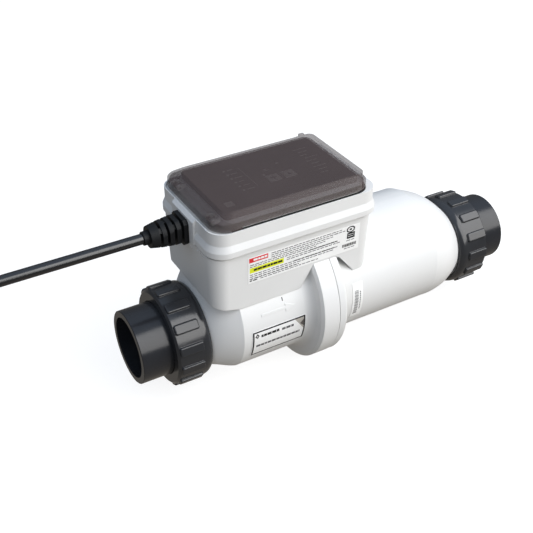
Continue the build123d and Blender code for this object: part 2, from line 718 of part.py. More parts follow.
with BuildPart() as flow_switch_ring:
    posts((flow_spot,), 101.1, 103.8, 12.0)
    posts((flow_spot,), 100.0, 105.0, 9.1, mode=Mode.SUBTRACT)
flow_switch_ring.part.label = "flow_switch_ring"
export_step(flow_switch_ring.part, "parts/flow_switch_ring.step")

with BuildPart() as paddle_pin:
    with BuildSketch(Plane.XZ):
        with Locations((flow_x, paddle_z)):
            Circle(1.0)
    extrude(amount=6.5, both=True)
paddle_pin.part.label = "paddle_pin"
export_step(paddle_pin.part, "parts/paddle_pin.step")

with BuildPart() as flow_paddle:
    with BuildSketch(Plane.XZ):
        with Locations((flow_x, paddle_z)):
            Circle(3.2)
        with Locations((flow_x, paddle_z - 4.5)):
            Rectangle(2.0, 9.0)
        with Locations((flow_x, paddle_z)):
            Circle(1.06, mode=Mode.SUBTRACT)
    extrude(amount=3.6, both=True)
    block(flow_x - 1.0, flow_x + 1.0, -8.0, 8.0, -18.0, 19.5)
    fillet(flow_paddle.edges().filter_by(Axis.X).group_by(Axis.Z)[0], 3.0)
flow_paddle.part.label = "flow_paddle"
export_step(flow_paddle.part, "parts/flow_paddle.step")

with BuildPart() as paddle_magnet:
    with BuildSketch(Plane.YZ.offset(flow_x + 1.02)):
        with Locations((0, 13.0)):
            Circle(3.0)
    extrude(amount=2.0)
paddle_magnet.part.label = "paddle_magnet"
export_step(paddle_magnet.part, "parts/paddle_magnet.step")

with BuildPart() as temperature_probe:
    posts((probe_spot,), 55.0, 104.0, 3.0)
    with BuildSketch(Plane.XY.offset(98.1)):
        with Locations(probe_spot):
            RegularPolygon(5.5, 6)
    extrude(amount=3.0)
temperature_probe.part.label = "temperature_probe"
export_step(temperature_probe.part, "parts/temperature_probe.step")

# ================================================================ cord entry
with BuildPart() as strain_relief:
    relief_points = [
        (cord_exit_x, 0),
        (cord_exit_x, 6.1),
        (24.4, 6.5),
        (29.5, 6.5),
        (29.5, 10.3),
        (37.2, 11.9),
        (37.2, 7.2),
        (39.6, 7.2),
        (39.6, 12.4),
        (43.7, 12.9),
        (43.7, 7.6),
        (46.1, 7.6),
        (46.1, 13.1),
        (50.4, 13.7),
        (50.4, 8.2),
        (52.8, 8.2),
        (52.8, 13.9),
        (57.2, 13.9),
        (57.2, 9.6),
        (59.5, 9.6),
        (59.5, gland_r),
        (76.0, gland_r),
        (76.0, 0),
    ]
    revolve(profile(relief_points, cord_z), axis=cord_axis)
    # the sleeve is squared off, and bridges join its ribs across the slots by turns
    with BuildSketch(Plane.YZ.offset(29.0)) as sleeve_sketch:
        with Locations((0, cord_z)):
            Rectangle(60.0, 60.0)
            Rectangle(24.4, 24.4, mode=Mode.SUBTRACT)
    extrude(amount=29.0, mode=Mode.SUBTRACT)
    for x, tilt in ((38.4, 45.0), (44.9, 0.0), (51.6, 45.0)):
        with Locations(Location((x, 0, cord_z), (tilt, 0, 0))):
            Box(3.0, 5.0, 22.6)
    with BuildSketch(Plane.YZ.offset(59.3)) as flange_sketch:
        with Locations((0, cord_z)):
            Rectangle(26.0, 26.0)
        chamfer(flange_sketch.vertices(), 3.5)
    extrude(amount=4.3)
strain_relief.part.label = "strain_relief"
export_step(strain_relief.part, "parts/strain_relief.step")

with BuildPart() as strain_relief_nut:
    with BuildSketch(Plane.YZ.offset(69.8)):
        with Locations((0, cord_z)):
            RegularPolygon(12.0, 6)
            Circle(gland_r + 0.1, mode=Mode.SUBTRACT)
    extrude(amount=5.2)
strain_relief_nut.part.label = "strain_relief_nut"
export_step(strain_relief_nut.part, "parts/strain_relief_nut.step")

# ================================================================ cord
top_layer_z = -48.05
bottom_layer_z = -58.15
# straight out of the strain relief, then down and aside, clear of a pipe in the inlet socket,
# onto the coil's top layer
cord_route = [
    (cord_exit_x, 0, cord_z),
    (-146.0, 0, cord_z),
    (-214.0, -22.0, 78.0),
    (-248.0, -64.0, 14.0),
    (-300.0, -coil_turn_r, top_layer_z),
    (coil_x, -coil_turn_r, top_layer_z),
]
# out of the coil's bottom layer to the connector
tail_route = [
    (coil_x, coil_turn_r, bottom_layer_z),
    (-312.0, coil_turn_r, bottom_layer_z),
    (-260.0, cord_tail_y, cord_tail_z),
    (-214.0, cord_tail_y, cord_tail_z),
]
cord_area = math.pi * cord_r**2

with BuildPart() as power_cord:
    run_length = cord_run(cord_route)
power_cord.part.label = "power_cord"
export_step(power_cord.part, "parts/power_cord.step")
print("power_cord volume", power_cord.part.volume, "expected", cord_area * run_length)

with BuildPart() as cord_lead_out:
    tail_length = cord_run(tail_route)
cord_lead_out.part.label = "cord_lead_out"
export_step(cord_lead_out.part, "parts/cord_lead_out.step")
print("cord_lead_out volume", cord_lead_out.part.volume, "expected", cord_area * tail_length)

coil_low, coil_high = bottom_layer_z - cord_r, top_layer_z + cord_r
coil_inner_r, coil_outer_r = 38.0, coil_turn_r + cord_r
with BuildPart() as cord_coil:
    posts(((coil_x, 0),), coil_low, coil_high, coil_outer_r)
    posts(((coil_x, 0),), coil_low - 1, coil_high + 1, coil_inner_r, mode=Mode.SUBTRACT)
cord_coil.part.label = "cord_coil"
export_step(cord_coil.part, "parts/cord_coil.step")

with BuildPart() as coil_ties:
    tie_low, tie_high = coil_low - 1.2, coil_high + 1.2
    for side in (-1, 1):
        near, far = coil_x + side * (coil_inner_r - 1.6), coil_x + side * (coil_outer_r + 1.25)
        block(min(near, far), max(near, far), -4, 4, tie_low, tie_high)
        near, far = coil_x + side * (coil_inner_r - 0.4), coil_x + side * (coil_outer_r + 0.05)
        block(min(near, far), max(near, far), -5, 5, coil_low, coil_high, mode=Mode.SUBTRACT)
coil_ties.part.label = "coil_ties"
export_step(coil_ties.part, "parts/coil_ties.step")

# ================================================================ the cord's own connector
plug_start = -214.0
plug_points = [
    (plug_start, 0),
    (plug_start, 5.8),
    (-200.0, 8.0),
    (-197.0, 8.0),
    (-197.0, 10.4),
    (-188.0, 11.5),
    (-171.6, 11.5),
    (-171.6, 12.4),
    (-169.2, 12.4),
    (-169.2, 11.4),
    (-160.0, 11.4),
    (-160.0, 9.4),
    (-168.0, 9.4),
    (-168.0, 0),
]


def on_plug_axis(points):
    """A closed outline of (x, distance from the plug's axis) points."""
    with BuildSketch(Plane.XZ.offset(-cord_tail_y)) as sketch:
        with BuildLine():
            Polyline(*[(x, cord_tail_z + height) for x, height in points], close=True)
        make_face()
    return sketch.sketch


with BuildPart() as plug_shell:
    revolve(on_plug_axis(plug_points), axis=plug_axis)
plug_shell.part.label = "plug_shell"
export_step(plug_shell.part, "parts/plug_shell.step")

with BuildPart() as plug_pins:
    with BuildSketch(Plane.YZ.offset(-167.98)):
        with Locations(
            *[(cord_tail_y + 4.6 * u, cord_tail_z + 4.6 * v) for u, v in ((1, 0), (0, 1), (-1, 0), (0, -1))]
        ):
            Circle(1.3)
    extrude(amount=6.5)
plug_pins.part.label = "plug_pins"
export_step(plug_pins.part, "parts/plug_pins.step")

with BuildPart() as plug_collar:
    collar_points = [
        (-184.0, 11.8),
        (-184.0, 12.9),
        (-183.4, 13.4),
        (-156.6, 13.4),
        (-156.0, 12.9),
        (-156.0, 12.6),
        (-172.0, 12.6),
        (-172.0, 11.8),
    ]
    revolve(on_plug_axis(collar_points), axis=plug_axis)
    # grip flutes along the ring's back half
    for k in range(18):
        turn = 2 * math.pi * k / 18
        y = cord_tail_y + 13.6 * math.cos(turn)
        z = cord_tail_z + 13.6 * math.sin(turn)
        with BuildSketch(Plane.YZ.offset(-185.0)):
            with Locations((y, z)):
                Circle(0.75)
        extrude(amount=20.0, mode=Mode.SUBTRACT)
plug_collar.part.label = "plug_collar"
export_step(plug_collar.part, "parts/plug_collar.step")

# ================================================================ labels
label_low, label_high = 72.2, 100.5


def front_y(z):
    """Where the lower enclosure's front wall stands at height z."""
    return -(53.27 + 2.13 * (z - 46.0) / (box_split_z - 46.0))


with BuildPart() as front_label:
    with BuildSketch(Plane.YZ.offset(100.2)):
        with BuildLine():
            Polyline(
                (front_y(label_low) - 0.02, label_low),
                (front_y(label_high) - 0.02, label_high),
                (front_y(label_high) - 0.27, label_high),
                (front_y(label_low) - 0.27, label_low),
                close=True,
            )
        make_face()
    extrude(amount=120.3)
front_label.part.label = "front_label"
export_step(front_label.part, "parts/front_label.step")

with BuildPart() as name_plate:
    revolve(label_sketch(100.5, 159.0, 5.5), axis=body_axis, revolution_arc=30)
name_plate.part.label = "name_plate"
export_step(name_plate.part, "parts/name_plate.step")

with BuildPart() as serial_label:
    revolve(label_sketch(214.0, 226.0, 18.5), axis=body_axis, revolution_arc=40)
serial_label.part.label = "serial_label"
export_step(serial_label.part, "parts/serial_label.step")
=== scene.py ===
import math
import bmesh
import bpy
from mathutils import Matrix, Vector


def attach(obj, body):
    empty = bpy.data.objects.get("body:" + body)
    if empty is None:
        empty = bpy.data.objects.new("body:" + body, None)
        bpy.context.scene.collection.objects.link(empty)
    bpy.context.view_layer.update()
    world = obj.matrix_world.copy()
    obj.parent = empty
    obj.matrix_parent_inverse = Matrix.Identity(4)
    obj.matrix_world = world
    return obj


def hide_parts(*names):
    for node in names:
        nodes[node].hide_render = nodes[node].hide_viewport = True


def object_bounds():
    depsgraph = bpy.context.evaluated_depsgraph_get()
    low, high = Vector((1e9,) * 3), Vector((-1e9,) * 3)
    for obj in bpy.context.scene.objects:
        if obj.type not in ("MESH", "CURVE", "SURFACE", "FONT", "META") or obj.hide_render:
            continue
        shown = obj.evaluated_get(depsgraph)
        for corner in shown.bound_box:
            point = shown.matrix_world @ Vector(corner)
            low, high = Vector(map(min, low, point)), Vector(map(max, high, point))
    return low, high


# Salt chlorine generator: materials, printed markings, cord, straps, studio and camera, built
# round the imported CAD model. The scene is in metres, in the model's own frame. Sizes on the
# object are given in millimetres, and MM turns them into metres.
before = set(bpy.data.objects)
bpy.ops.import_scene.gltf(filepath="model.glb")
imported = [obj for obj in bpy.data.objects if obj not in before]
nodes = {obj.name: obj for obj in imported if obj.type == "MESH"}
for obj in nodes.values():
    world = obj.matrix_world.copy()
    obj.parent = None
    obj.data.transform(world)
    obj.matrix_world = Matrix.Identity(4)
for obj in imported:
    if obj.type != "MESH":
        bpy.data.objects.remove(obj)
cad_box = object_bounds()
MM = 0.001

# surfaces that carry printing, mm
BODY_Z = 13.7  # height of the cell body's axis over the pipe axis
BODY_R = 61.0
BODY_LABEL = 0.35  # how far a label's face stands off the body
WALL_FOOT_Y, WALL_FOOT_Z = 53.27, 46.0  # the box's front wall leans out from its foot
WALL_HEIGHT, WALL_LEAN = 60.4, 2.13
WALL_LABEL = 0.27
PANEL_Z = 144.9
KEY_RISE = 0.5  # the keys' tops stand this far over the panel


# ---------------------------------------------------------------- materials
NOISE_MIDDLE = (0.3, 0.7)  # most of a noise's values lie between these
EDGE_SAMPLES = 6


def blank_material(name):
    material = bpy.data.materials.new(name)
    material.use_nodes = True
    tree = material.node_tree
    return material, tree, tree.nodes["Principled BSDF"]


def noise(tree, vector, scale, detail=3.0, roughness=0.5):
    node = tree.nodes.new("ShaderNodeTexNoise")
    node.inputs["Scale"].default_value = scale
    node.inputs["Detail"].default_value = detail
    node.inputs["Roughness"].default_value = roughness
    tree.links.new(vector, node.inputs["Vector"])
    return node.outputs["Fac"]


def spread_colour(tree, factor, dark, light):
    """A ramp from dark to light over the middle of a noise."""
    ramp = tree.nodes.new("ShaderNodeValToRGB")
    for stop, position, colour in zip(ramp.color_ramp.elements, NOISE_MIDDLE, (dark, light)):
        stop.position = position
        stop.color = (*colour, 1)
    tree.links.new(factor, ramp.inputs["Fac"])
    return ramp.outputs["Color"]


def spread_value(tree, factor, low, high):
    """A value from low to high over the middle of a noise."""
    node = tree.nodes.new("ShaderNodeMapRange")
    node.inputs["From Min"].default_value = NOISE_MIDDLE[0]
    node.inputs["From Max"].default_value = NOISE_MIDDLE[1]
    node.inputs["To Min"].default_value = low
    node.inputs["To Max"].default_value = high
    tree.links.new(factor, node.inputs["Value"])
    return node.outputs["Result"]


def add_bump(tree, shader, height, strength, depth, normal=None):
    """Relief of a depth in mm on the shader, over its own normal or over another."""
    bump = tree.nodes.new("ShaderNodeBump")
    bump.inputs["Strength"].default_value = strength
    bump.inputs["Distance"].default_value = depth * MM
    tree.links.new(height, bump.inputs["Height"])
    if normal is not None:
        tree.links.new(normal, bump.inputs["Normal"])
    tree.links.new(bump.outputs["Normal"], shader.inputs["Normal"])


def eased_edges(tree, radius):
    """A normal that rounds sharp edges by a radius in mm."""
    rounding = tree.nodes.new("ShaderNodeBevel")
    rounding.samples = EDGE_SAMPLES
    rounding.inputs["Radius"].default_value = radius * MM
    return rounding.outputs["Normal"]


def moulded(
    name, colour, roughness, tint=0.05, spread=0.05, grain=700.0, relief=0.08, depth=0.15,
    edge=0.0, stretch=(1, 1, 1), metallic=0.0, specular=0.5, broad=28.0
):
    """A moulded, printed or metal surface: uneven colour and gloss, fine relief, eased edges.

    The colour varies by tint over broad patches, and the roughness by spread over the grain.
    The relief follows the grain too, to a depth in mm, and edge is a radius in mm.
    """
    material, tree, shader = blank_material(name)
    coordinates = tree.nodes.new("ShaderNodeTexCoord")
    mapping = tree.nodes.new("ShaderNodeMapping")
    mapping.inputs["Scale"].default_value = stretch
    tree.links.new(coordinates.outputs["Object"], mapping.inputs["Vector"])
    wide = noise(tree, mapping.outputs["Vector"], broad)
    fine = noise(tree, mapping.outputs["Vector"], grain, detail=4.0, roughness=0.6)
    dark = [c * (1 - tint) for c in colour]
    light = [min(1.0, c * (1 + tint)) for c in colour]
    tree.links.new(spread_colour(tree, wide, dark, light), shader.inputs["Base Color"])
    gloss = spread_value(tree, fine, roughness - spread, roughness + spread)
    tree.links.new(gloss, shader.inputs["Roughness"])
    shader.inputs["Metallic"].default_value = metallic
    shader.inputs["Specular IOR Level"].default_value = specular
    normal = eased_edges(tree, edge) if edge > 0 else None
    add_bump(tree, shader, fine, relief, depth, normal)
    return material


def smoked_plastic():
    """Smoked plastic: half see-through, with a satin skin and faint flow marks."""
    material, tree, shader = blank_material("smoked_plastic")
    coordinates = tree.nodes.new("ShaderNodeTexCoord")
    wide = noise(tree, coordinates.outputs["Object"], 14.0)
    fine = noise(tree, coordinates.outputs["Object"], 400.0)
    colour = spread_colour(tree, wide, (0.106, 0.080, 0.076), (0.120, 0.090, 0.086))
    tree.links.new(colour, shader.inputs["Base Color"])
    tree.links.new(spread_value(tree, fine, 0.28, 0.32), shader.inputs["Roughness"])
    shader.inputs["Alpha"].default_value = 0.50
    shader.inputs["Specular IOR Level"].default_value = 0.4
    shader.inputs["IOR"].default_value = 1.5
    add_bump(tree, shader, wide, strength=0.02, depth=0.1)
    return material


def board_green():
    """Solder-masked board with copper tracks under the mask."""
    material, tree, shader = blank_material("board_green")
    coordinates = tree.nodes.new("ShaderNodeTexCoord")
    tracks = tree.nodes.new("ShaderNodeTexBrick")
    tracks.inputs["Scale"].default_value = 120.0
    tracks.inputs["Mortar Size"].default_value = 0.06
    tracks.inputs["Color1"].default_value = (0.010, 0.085, 0.030, 1)
    tracks.inputs["Color2"].default_value = (0.012, 0.10, 0.036, 1)
    tracks.inputs["Mortar"].default_value = (0.03, 0.19, 0.07, 1)
    tree.links.new(coordinates.outputs["Object"], tracks.inputs["Vector"])
    tree.links.new(tracks.outputs["Color"], shader.inputs["Base Color"])
    fine = noise(tree, coordinates.outputs["Object"], 300.0)
    tree.links.new(spread_value(tree, fine, 0.22, 0.34), shader.inputs["Roughness"])
    return material


# plastics
white = moulded(
    "white_housing", (0.80, 0.80, 0.79), 0.42, tint=0.012, spread=0.05, grain=900.0,
    relief=0.10, depth=0.12, edge=0.5, specular=0.4
)
black_pvc = moulded(
    "black_pvc", (0.020, 0.021, 0.0245), 0.21, tint=0.12, spread=0.02, grain=160.0,
    relief=0.02, depth=0.05, specular=0.45
)
nut_pvc = moulded(
    "nut_pvc", (0.024, 0.025, 0.028), 0.18, tint=0.10, spread=0.02, grain=160.0,
    relief=0.02, depth=0.05, specular=0.6, edge=0.9
)
panel_black = moulded(
    "panel_black", (0.038, 0.026, 0.023), 0.6, tint=0.08, grain=1200.0,
    relief=0.03, depth=0.05, edge=0.4, specular=0.15
)
button_grey = moulded(
    "button_grey", (0.28, 0.25, 0.235), 0.5, tint=0.05, grain=1500.0, relief=0.15, edge=0.4
)
label_film = moulded(
    "label_film", (0.97, 0.97, 0.96), 0.34, tint=0.01, spread=0.04, grain=500.0, relief=0.05
)
inner_plastic = moulded(
    "inner_plastic", (0.36, 0.37, 0.38), 0.5, tint=0.06, grain=900.0, relief=0.15, edge=0.3
)
component = moulded(
    "component_dark", (0.03, 0.03, 0.033), 0.5, tint=0.15, grain=1500.0, relief=0.2, edge=0.3
)
sleeve = moulded("component_sleeve", (0.02, 0.035, 0.10), 0.35, tint=0.15, grain=900.0, edge=0.3)
lens_clear = moulded("lens_clear", (0.30, 0.29, 0.27), 0.12, tint=0.1, grain=800.0)
smoked = smoked_plastic()
board = board_green()

# rubbers
seal_rubber = moulded("seal_rubber", (0.012, 0.012, 0.012), 0.7, tint=0.2, relief=0.2)
relief_rubber = moulded(
    "relief_rubber", (0.009, 0.0095, 0.0105), 0.5, tint=0.2, spread=0.06, grain=1200.0,
    relief=0.06, edge=0.6, specular=0.25
)
cord_jacket = moulded(
    "cord_jacket", (0.008, 0.008, 0.009), 0.24, tint=0.2, spread=0.03, grain=300.0,
    relief=0.03, depth=0.05, stretch=(0.2, 1, 1), specular=0.8
)

# metals
titanium = moulded(
    "titanium", (0.30, 0.29, 0.28), 0.42, tint=0.12, spread=0.1, grain=900.0,
    relief=0.15, metallic=1.0, stretch=(0.05, 1, 1)
)
stainless = moulded(
    "stainless", (0.55, 0.55, 0.54), 0.30, tint=0.08, spread=0.08, grain=1200.0,
    relief=0.1, metallic=1.0, stretch=(0.2, 1, 1), edge=0.2
)
brass_pin = moulded("brass_pin", (0.62, 0.46, 0.20), 0.25, tint=0.08, grain=900.0, metallic=1.0)

# inks
INK_GRAIN = 2500.0
ink_black = moulded(
    "ink_black", (0.010, 0.010, 0.011), 0.42, tint=0.2, grain=INK_GRAIN, relief=0.1
)
ink_grey = moulded(
    "ink_grey", (0.11, 0.11, 0.115), 0.45, tint=0.25, grain=INK_GRAIN, relief=0.1, broad=400.0
)
ink_red = moulded("ink_red", (0.72, 0.03, 0.035), 0.40, tint=0.06, grain=INK_GRAIN, relief=0.1)
ink_yellow = moulded(
    "ink_yellow", (0.80, 0.86, 0.02), 0.40, tint=0.05, grain=INK_GRAIN, relief=0.1
)
ink_beige = moulded(
    "ink_beige", (0.50, 0.47, 0.42), 0.42, tint=0.2, grain=INK_GRAIN, broad=90.0
)
ink_umber = moulded("ink_umber", (0.10, 0.085, 0.08), 0.42, tint=0.1, grain=INK_GRAIN)
ink_panel = moulded("ink_panel", (0.32, 0.29, 0.27), 0.5, tint=0.1, grain=INK_GRAIN)

look = {
    white: ["inlet_housing", "outlet_housing", "lower_enclosure", "upper_enclosure"],
    black_pvc: ["inlet_tailpiece", "outlet_tailpiece"],
    nut_pvc: ["inlet_union_nut", "outlet_union_nut", "plug_collar"],
    # the cover gasket is a dark rubber seal, and its black also fills the gap under the cover's front
    # edge, standing in for the shade there: partly a real seal, partly painted shade
    seal_rubber: [
        "inlet_o_ring", "outlet_o_ring", "flange_gasket", "enclosure_gasket", "cover_gasket",
        "terminal_seals"
    ],
    relief_rubber: ["strain_relief", "plug_shell"],
    panel_black: ["control_panel"],
    button_grey: ["left_button", "right_button"],
    label_film: ["front_label", "name_plate", "serial_label"],
    titanium: [
        "anode_plates", "cathode_plates", "anode_terminal", "cathode_terminal", "paddle_pin",
        "temperature_probe"
    ],
    stainless: [
        "enclosure_screws", "saddle_screws", "cover_hinge_pins", "board_screws",
        "terminal_nuts", "paddle_magnet"
    ],
    component: ["tact_switches", "relays", "terminal_block", "strain_relief_nut"],
    sleeve: ["capacitors"],
    inner_plastic: ["plate_combs", "flow_switch_body", "flow_switch_ring", "flow_paddle"],
    brass_pin: ["plug_pins"],
    lens_clear: ["indicator_lenses", "indicator_leds"],
    board: ["display_board", "driver_board"],
    smoked: ["smoked_cover"],
}
for material, names in look.items():
    for name in names:
        mesh = nodes[name].data
        mesh.materials.clear()
        mesh.materials.append(material)


# ---------------------------------------------------------------- shapes made here
def join_rings(shape, rings, closed=False):
    """Faces from each ring of corners to the next, and then round to the first or over the ends."""
    pairs = list(zip(rings, rings[1:]))
    if closed:
        pairs.append((rings[-1], rings[0]))
    else:
        shape.faces.new(rings[0])
        shape.faces.new(rings[-1])
    for here, there in pairs:
        for a in range(len(here)):
            b = (a + 1) % len(here)
            shape.faces.new((here[a], here[b], there[b], there[a]))


def new_piece(name, shape, material):
    """An object of one material from a finished bmesh, which is freed."""
    mesh = bpy.data.meshes.new(name)
    bmesh.ops.recalc_face_normals(shape, faces=shape.faces)
    shape.to_mesh(mesh)
    shape.free()
    mesh.materials.append(material)
    piece = bpy.data.objects.new(name, mesh)
    bpy.context.scene.collection.objects.link(piece)
    return piece


# ---------------------------------------------------------------- printing
INK_BASE, INK_TOP = 0.01, 0.05  # ink starts and ends this far off its surface
CROSSING_TOP = 0.07  # ink that crosses other ink
OVERPRINT_TOP = 0.09  # ink on a printed block
DASH_SHORTEST = 1.6
DASH_WAVES = ((1.9, 2.399), (1.3, 0.713))  # how much each wave adds at most, and its pace
LINE_END = 1.0  # a line stops when less than this is left


def printed(
    name, patches, place, material, body="cell", steps=1, ink_top=INK_TOP
):
    """Ink on a surface: each patch is (u, v, width, height) in mm, put in place by place(u, v, lift).

    A patch is a thin closed slab, in steps along v so that it can follow a curved surface.
    """
    ink = bmesh.new()
    for u, v, width, height in patches:
        section = ((u, INK_BASE), (u + width, INK_BASE), (u + width, ink_top), (u, ink_top))
        rings = []
        for k in range(steps + 1):
            row = v + height * k / steps
            rings.append([ink.verts.new(place(across, row, lift)) for across, lift in section])
        join_rings(ink, rings)
    piece = new_piece(name, ink, material)
    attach(piece, body)
    return piece


def words(u, v, width, height, seed, gap=0.9):
    """A line of plain dashes, as long and as uneven as words, from u to u + width."""
    dashes = []
    start, word = u, seed
    while start < u + width - LINE_END:
        run = DASH_SHORTEST
        for most, pace in DASH_WAVES:
            run += most * abs(math.sin(word * pace))
        run = min(run, u + width - start)
        dashes.append((start, v, run, height))
        start += run + gap
        word += 1
    return dashes


def repeated(patch, count, pitch):
    """The same patch again and again, at a pitch along v."""
    u, v, width, height = patch
    return [(u, v + pitch * k, width, height) for k in range(count)]


def graduated(patch, count, pitch, along_u, extra):
    """Ticks at a pitch along u or v, of which every third is thicker by extra."""
    u, v, width, height = patch
    ticks = []
    for k in range(count):
        thicker = extra * (k % 3 == 0)
        if along_u:
            ticks.append((u + pitch * k, v, width + thicker, height))
        else:
            ticks.append((u, v + pitch * k, width, height + thicker))
    return ticks


def on_wall(u, v, lift):
    """The label on the box's front wall: u along X and v along Z."""
    wall = -(WALL_FOOT_Y + WALL_LEAN * (v - WALL_FOOT_Z) / WALL_HEIGHT)
    return Vector((u, wall - WALL_LABEL - lift, v)) * MM


def on_body(u, v, lift):
    """A label on the cell body: u along X, and v the arc length up from the body's front."""
    angle = v / BODY_R
    radius = BODY_R + BODY_LABEL + lift
    return Vector((u, -radius * math.cos(angle), BODY_Z + radius * math.sin(angle))) * MM


def on_shell(u, v, lift):
    """The cell body itself, as on_body but with no label under the ink."""
    return on_body(u, v, lift - BODY_LABEL)


def on_panel(u, v, lift):
    """The control panel: u along X and v along Y."""
    return Vector((u, v, PANEL_Z + lift)) * MM


def on_key(u, v, lift):
    """The top of a button's key: u along X and v along Y."""
    return Vector((u, v, PANEL_Z + KEY_RISE + lift)) * MM


def arc(degrees):
    """Arc length on the body, in mm, of an angle counted from the front towards the top."""
    return math.radians(degrees) * BODY_R


# ---------------------------------------------------------------- wide label on the box
# blocks of colour with dashes on them, and lines of small and bold dashes
printed("front_label_red_block", [(101.2, 95.2, 19.4, 4.9)], on_wall, ink_red)
printed("front_label_yellow_block", [(101.8, 83.6, 35.4, 5.6)], on_wall, ink_yellow)
red_words = words(105.6, 96.6, 14.0, 2.1, seed=3, gap=0.5)
printed("front_label_block_words", red_words, on_wall, label_film, ink_top=OVERPRINT_TOP)
yellow_words = words(106.0, 85.2, 30.0, 2.3, seed=5, gap=0.5)
printed("front_label_yellow_words", yellow_words, on_wall, ink_black, ink_top=OVERPRINT_TOP)

fine_lines = (  # start, end and height of each
    (124.0, 200.0, 98.4),
    (124.0, 204.0, 96.2),
    (124.0, 192.0, 94.0),
    (102.0, 182.0, 91.9),
    (102.0, 172.0, 89.9),
    (140.5, 196.0, 87.4),
    (140.5, 200.0, 85.3),
    (102.0, 198.0, 81.0),
    (102.0, 192.0, 78.8),
)
fine_print = []
for k, (start, end, line_z) in enumerate(fine_lines):
    fine_print += words(start, line_z, end - start, 0.85, seed=7 * k + 2)
fine_print += words(113.0, 74.4, 62.0, 0.8, seed=71)
printed("front_label_fine_print", fine_print, on_wall, ink_grey)

bold_print = words(101.8, 76.4, 52.0, 1.0, seed=40) + words(101.8, 74.3, 9.0, 1.2, seed=9)
bold_print += words(165.0, 87.4, 30.0, 1.1, seed=61) + words(148.0, 81.0, 46.0, 1.1, seed=83)
printed("front_label_bold_words", bold_print, on_wall, ink_black, ink_top=CROSSING_TOP)

# the label's right end: a ring of dots over a dark block, and a strip of ticks
RING_X, RING_Z, RING_WIDTH, RING_HEIGHT = 210.2, 96.6, 8.0, 6.0
RING_DOTS, DOT_WIDTH, DOT_HEIGHT = 28, 1.3, 1.2
ring = []
for k in range(RING_DOTS):
    turn = 2 * math.pi * k / RING_DOTS
    dot_x = RING_X + RING_WIDTH / 2 * math.cos(turn) - DOT_WIDTH / 2
    dot_z = RING_Z + RING_HEIGHT / 2 * math.sin(turn) - DOT_HEIGHT / 2
    ring.append((dot_x, dot_z, DOT_WIDTH, DOT_HEIGHT))
printed("front_label_ring", ring, on_wall, ink_black)
printed("front_label_ring_core", [(208.8, 95.6, 2.8, 2.0)], on_wall, ink_black)
printed("front_label_dark_block", [(206.4, 86.4, 8.8, 6.6)], on_wall, ink_black)
block_lines = repeated((207.4, 88.6, 6.8, 0.4), count=2, pitch=2.2)
printed("front_label_block_lines", block_lines, on_wall, label_film, ink_top=OVERPRINT_TOP)
ticks = graduated((201.8, 77.6, 0.55, 3.4), count=17, pitch=0.95, along_u=True, extra=0.2)
printed("front_label_ticks", ticks, on_wall, ink_black)
side_words = words(206.0, 84.0, 9.0, 0.8, seed=15) + words(204.0, 75.4, 12.0, 0.8, seed=25)
printed("front_label_side_words", side_words, on_wall, ink_grey)

# ---------------------------------------------------------------- bordered plate on the inlet half
# a border, a stepped wedge in the upper right corner, a diamond and two lines of dashes
left, right = 100.9, 158.6
bottom, top = arc(-24.2), arc(5.2)
RIM = 1.6
border = [
    (left, bottom, right - left, RIM),
    (left, top - RIM, right - left, RIM),
    (left, bottom + RIM, RIM, top - bottom - 2 * RIM),
    (right - RIM, bottom + RIM, RIM, top - bottom - 2 * RIM),
]
printed("name_plate_border", border, on_body, ink_black, steps=12)

ROW, ROW_INK = 0.86, 0.87  # a wedge's rows overlap a little, so that no gap shows
wedge = []
for k in range(16):
    reach = 9.6 - 0.6 * k
    wedge.append((right - RIM - reach, top - RIM - ROW * (k + 1), reach, ROW_INK))
printed("name_plate_wedge", wedge, on_body, ink_beige)
corner = []
for k in range(3, 12):
    reach = 4.4 - 0.9 * abs(k - 7)
    corner.append((right - RIM - reach, top - RIM - ROW * (k + 1), reach, ROW_INK))
printed("name_plate_corner", corner, on_body, ink_umber, ink_top=CROSSING_TOP)

DIAMOND_X, DIAMOND_V, DIAMOND_WIDTH, DIAMOND_ROW = 103.4, arc(-2.6), 4.6, 0.8
diamond = []
for k in range(7):
    inset = 0.65 * abs(3 - k)
    row_v = DIAMOND_V + DIAMOND_ROW * k
    diamond.append((DIAMOND_X + inset, row_v, DIAMOND_WIDTH - 2 * inset, 0.78))
printed("name_plate_mark", diamond, on_body, ink_black)
core = [(105.0, DIAMOND_V + 2.2, 1.4, 1.2)]
printed("name_plate_mark_core", core, on_body, label_film, ink_top=OVERPRINT_TOP)
plate_lines = (
    ("name_plate_bold_dashes", words(110.0, arc(-2.4), 20.5, 2.9, seed=4, gap=0.5), ink_black),
    ("name_plate_thin_dashes", words(132.6, arc(-2.8), 13.0, 2.7, seed=14, gap=0.8), ink_grey),
    ("name_plate_lower_dashes", words(105.0, arc(-13.0), 48.0, 2.7, seed=24, gap=0.6), ink_grey),
)
for name, dashes, ink in plate_lines:
    printed(name, dashes, on_body, ink, steps=3)

# ---------------------------------------------------------------- serial strip on the outlet half
# a ladder of ticks with a thin column beside it
ladder = graduated((216.2, arc(-17.0), 4.6, 0.55), count=24, pitch=1.25, along_u=False, extra=0.25)
printed("serial_ladder", ladder, on_body, ink_grey)
column = repeated((222.4, arc(-12.0), 1.1, 1.5), count=10, pitch=2.3)
printed("serial_column", column, on_body, ink_grey)

# two short ticks on the housing itself
body_ticks = [(206.6, arc(-11.0), 1.3, 3.6), (136.0, arc(25.6), 0.9, 3.8)]
printed("body_ticks", body_ticks, on_shell, ink_black)

